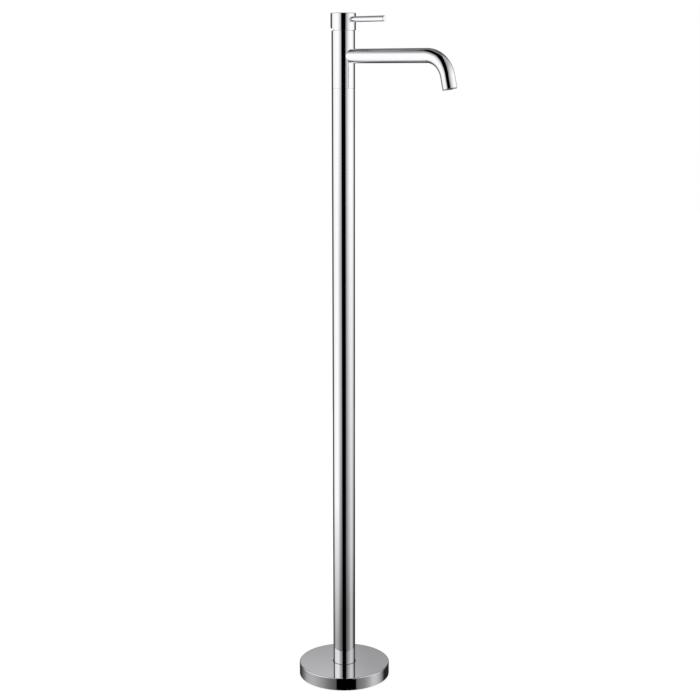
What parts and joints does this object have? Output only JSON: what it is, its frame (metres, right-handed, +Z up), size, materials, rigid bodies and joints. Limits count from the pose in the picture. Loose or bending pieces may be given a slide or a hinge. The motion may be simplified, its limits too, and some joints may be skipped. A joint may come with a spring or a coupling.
{
  "type": "floor-standing basin mixer",
  "caption": "Floor-standing single-lever basin mixer: slim round column on a round foot, level tube spout with a bent end, tilting and turning pin lever, ceramic disc cartridge.",
  "frame": {"origin": "centre of the floor plate's underside, on the floor and on the column's axis", "axes": "+Z up along the column, +X along the spout and the lever in its middle position, +Y to the hot side"},
  "size_m": [0.3187, 0.164, 1.185],
  "materials": {
    "chrome": "polished chrome plating on brass",
    "steel": "turned stainless steel",
    "brass": "turned brass, unplated",
    "copper": "drawn copper tube",
    "rubber": "moulded black rubber",
    "plastic_white": "moulded white plastic",
    "plastic_grey": "moulded grey plastic",
    "ceramic": "ground alumina ceramic, lapped faces"
  },
  "bodies": {
    "stand": {"floor_plate": "steel", "clamp_collar": "steel", "column_spigot": "steel", "floor_gasket": "rubber", "collar_screws": "steel", "column_tube": "chrome", "column_ring": "brass", "inlet_block": "brass", "hot_supply_tube": "copper", "cold_supply_tube": "copper", "tube_orings": "rubber", "mixer_body": "chrome", "spout_tube": "chrome", "spout_nipple": "brass", "nipple_oring": "rubber", "outlet_sleeve": "chrome", "aerator_seal": "rubber", "aerator_screen": "steel", "aerator_core": "plastic_white", "aerator_housing": "plastic_grey", "cartridge_base": "plastic_grey", "cartridge_seals": "rubber", "fixed_disc": "ceramic", "cartridge_housing": "plastic_grey", "retaining_nut": "brass", "dome_ring": "chrome"},
    "foot_cover": {"base_cover": "chrome", "cover_hub": "brass", "cover_seal": "rubber"},
    "swivel": {"swivel_carrier": "plastic_white", "pivot_pin": "steel"},
    "lever": {"lever_stem": "brass", "handle_cap": "chrome", "pin_lever": "chrome"},
    "valve": {"moving_disc": "ceramic", "disc_driver": "plastic_white"}
  },
  "joints": [
    {"name": "cover_lift", "type": "slide", "parent": "stand", "child": "foot_cover", "axis": [0, 0, 1], "range_m": [0, 1.075]},
    {"name": "lever_turn", "type": "hinge", "parent": "stand", "child": "swivel", "pos_m": [0, 0, 1.16], "axis": [0, 0, 1], "range_deg": [-45, 45]},
    {"name": "lever_lift", "type": "hinge", "parent": "swivel", "child": "lever", "pos_m": [0, 0, 1.16], "axis": [0, -1, 0], "range_deg": [0, 18]},
    {"name": "disc_slide", "type": "slide", "parent": "swivel", "child": "valve", "axis": [1, 0, 0], "range_m": [0, 0.00403]}
  ],
  "couplings": [
    {"joint": "disc_slide", "follows": "lever_lift", "m_per_rad": 0.012787}
  ]
}
